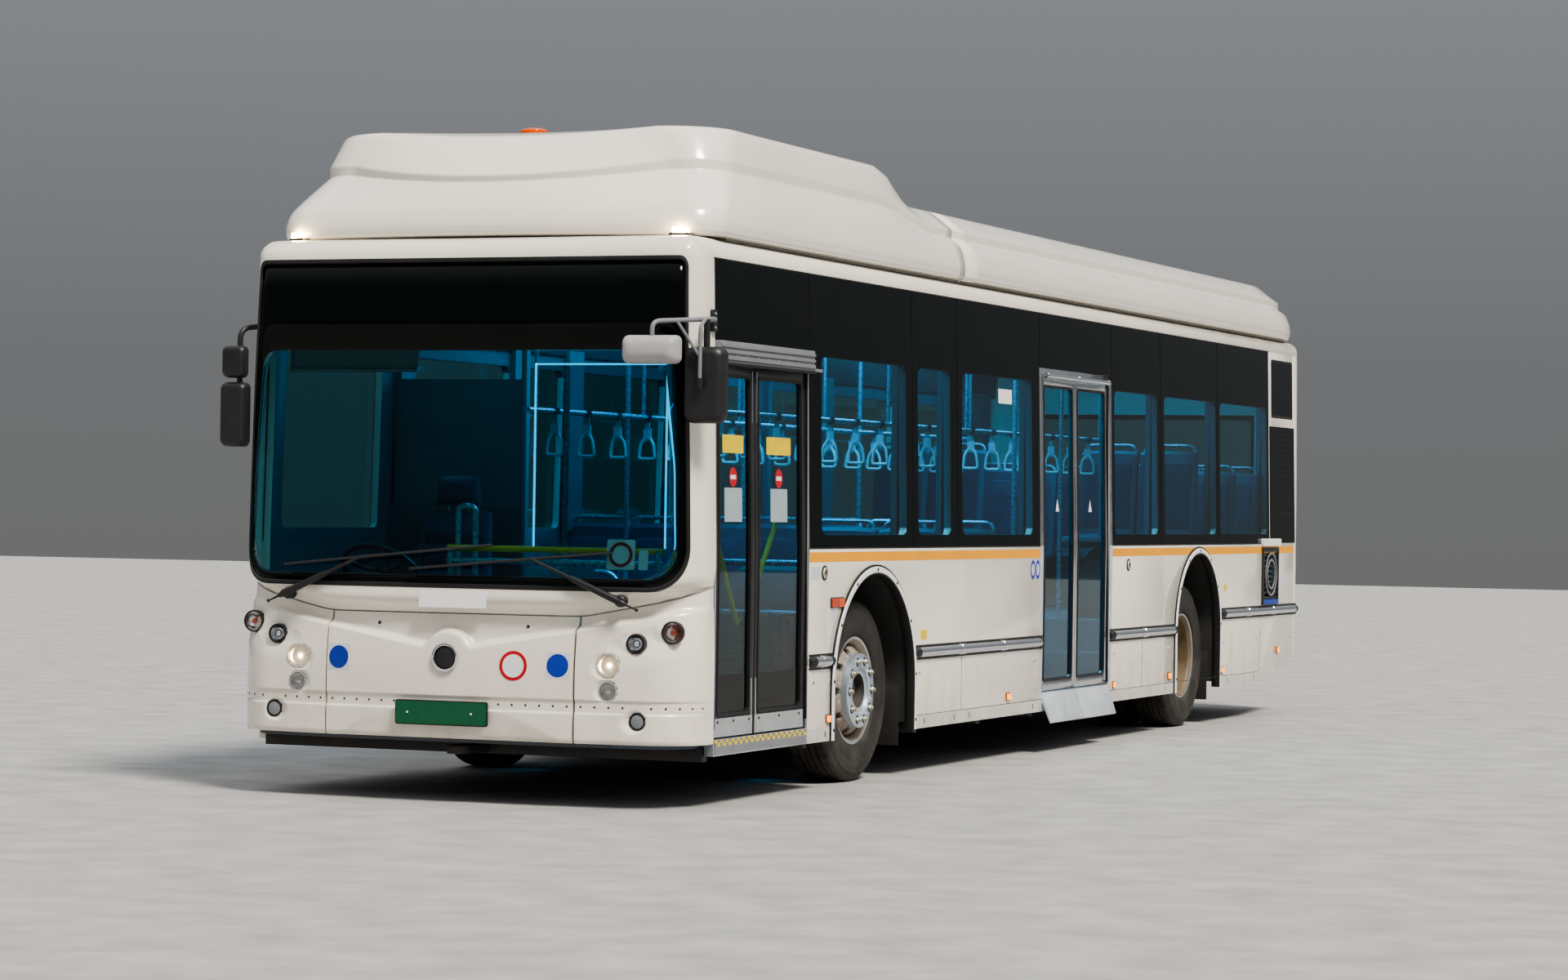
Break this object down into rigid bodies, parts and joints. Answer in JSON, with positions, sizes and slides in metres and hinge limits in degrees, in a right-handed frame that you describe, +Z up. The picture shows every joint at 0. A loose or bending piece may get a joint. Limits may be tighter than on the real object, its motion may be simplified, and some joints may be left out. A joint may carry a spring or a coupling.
{
  "type": "airport passenger bus",
  "caption": "Low-floor airport passenger bus with two double doors on its left side, high roof pods, steered front wheels and twin rear wheels.",
  "frame": {"origin": "on the ground under the middle of the bus's bounding box", "axes": "+Z up, +Y rearwards, +X to the door side, which is the bus's left"},
  "size_m": [2.9, 12.222, 3.597],
  "materials": {
    "body_paint": "gloss cream white paint",
    "pod_paint": "gloss cream white paint on moulded roof pods",
    "wheel_paint": "dusty cream wheel paint",
    "chassis_paint": "satin black frame paint",
    "axle_iron": "painted cast iron",
    "aluminium": "brushed aluminium trim",
    "glass": "tinted bonded glass",
    "lamp_glass": "clear lamp lenses",
    "amber": "amber lenses",
    "red_lens": "red lenses",
    "tyre": "black rubber",
    "rubber": "black rubber and liner",
    "black_plastic": "black moulded plastic",
    "floor_vinyl": "grey floor covering",
    "seat_plastic": "moulded seat shells",
    "seat_fabric": "dark woven seat cover",
    "rail_paint": "coated steel handrails",
    "block_paint": "painted case"
  },
  "bodies": {
    "coach_body": {"chassis": "chassis_paint", "chassis_rear": "chassis_paint", "floor": "floor_vinyl", "floor_high": "floor_vinyl", "wheel_housings": "rubber", "left_wall": "body_paint", "right_wall": "body_paint", "left_glass": "glass", "right_glass": "glass", "roof": "body_paint", "front_frame": "body_paint", "windscreen": "glass", "mask_corners": "body_paint", "rear_wall": "body_paint", "rear_window": "glass", "pod_front": "pod_paint", "pod_rear": "pod_paint", "power_blocks": "block_paint", "doorways": "aluminium", "front_axle": "axle_iron", "rear_axle": "axle_iron", "side_trim": "aluminium", "front_lamps": "lamp_glass", "amber_lamps": "amber", "rear_lamps": "red_lens", "wipers": "black_plastic", "mirrors": "black_plastic", "driver_seat": "seat_fabric", "dashboard": "black_plastic", "partition": "seat_plastic", "seats": "seat_plastic", "handrails": "rail_paint", "side_vent": "black_plastic"},
    "knuckle_left": {"knuckle_left": "axle_iron"},
    "knuckle_right": {"knuckle_right": "axle_iron"},
    "wheel_fl": {"tyre_fl": "tyre", "rim_fl": "wheel_paint"},
    "wheel_fr": {"tyre_fr": "tyre", "rim_fr": "wheel_paint"},
    "wheel_rl": {"tyre_rl": "tyre", "rim_rl": "wheel_paint"},
    "wheel_rr": {"tyre_rr": "tyre", "rim_rr": "wheel_paint"},
    "door_front_a": {"door_front_a": "black_plastic", "door_front_a_glass": "glass"},
    "door_front_b": {"door_front_b": "black_plastic", "door_front_b_glass": "glass"},
    "door_mid_a": {"door_mid_a": "aluminium", "door_mid_a_glass": "glass"},
    "door_mid_b": {"door_mid_b": "aluminium", "door_mid_b_glass": "glass"},
    "front_hatch": {"front_hatch": "body_paint"},
    "rear_hatch": {"rear_hatch": "body_paint"}
  },
  "joints": [
    {"name": "steer_left", "type": "hinge", "parent": "coach_body", "child": "knuckle_left", "pos_m": [0.96, -3.2275, 0.506], "axis": [0, 0, 1], "range_deg": [-40, 40]},
    {"name": "steer_right", "type": "hinge", "parent": "coach_body", "child": "knuckle_right", "pos_m": [-0.96, -3.2275, 0.506], "axis": [0, 0, 1], "range_deg": [-40, 40]},
    {"name": "spin_fl", "type": "hinge", "parent": "knuckle_left", "child": "wheel_fl", "pos_m": [1.06, -3.2275, 0.506], "axis": [1, 0, 0], "continuous": true},
    {"name": "spin_fr", "type": "hinge", "parent": "knuckle_right", "child": "wheel_fr", "pos_m": [-1.06, -3.2275, 0.506], "axis": [1, 0, 0], "continuous": true},
    {"name": "spin_rl", "type": "hinge", "parent": "coach_body", "child": "wheel_rl", "pos_m": [1.06, 3.2525, 0.506], "axis": [1, 0, 0], "continuous": true},
    {"name": "spin_rr", "type": "hinge", "parent": "coach_body", "child": "wheel_rr", "pos_m": [-1.06, 3.2525, 0.506], "axis": [1, 0, 0], "continuous": true},
    {"name": "door_front_swing", "type": "hinge", "parent": "coach_body", "child": "door_front_b", "pos_m": [1.258, -4.2735, 1.3], "axis": [0, 0, -1], "range_deg": [0, 88]},
    {"name": "door_front_narrow", "type": "hinge", "parent": "coach_body", "child": "door_front_a", "pos_m": [1.258, -5.4255, 1.3], "axis": [0, 0, 1], "range_deg": [0, 88]},
    {"name": "door_mid_swing", "type": "hinge", "parent": "coach_body", "child": "door_mid_b", "pos_m": [1.258, 1.0785, 1.3], "axis": [0, 0, -1], "range_deg": [0, 88]},
    {"name": "door_mid_front", "type": "hinge", "parent": "coach_body", "child": "door_mid_a", "pos_m": [1.258, -0.2235, 1.3], "axis": [0, 0, 1], "range_deg": [0, 88]},
    {"name": "front_hatch_lift", "type": "hinge", "parent": "coach_body", "child": "front_hatch", "pos_m": [0, -5.8905, 0.958], "axis": [-1, 0, 0], "range_deg": [0, 80]},
    {"name": "rear_hatch_lift", "type": "hinge", "parent": "coach_body", "child": "rear_hatch", "pos_m": [0, 6.1315, 1.42], "axis": [1, 0, 0], "range_deg": [0, 80]}
  ],
  "couplings": [
    {"joint": "steer_right", "follows": "steer_left", "ratio": 1},
    {"joint": "door_front_narrow", "follows": "door_front_swing", "ratio": 1},
    {"joint": "door_mid_front", "follows": "door_mid_swing", "ratio": 1}
  ]
}
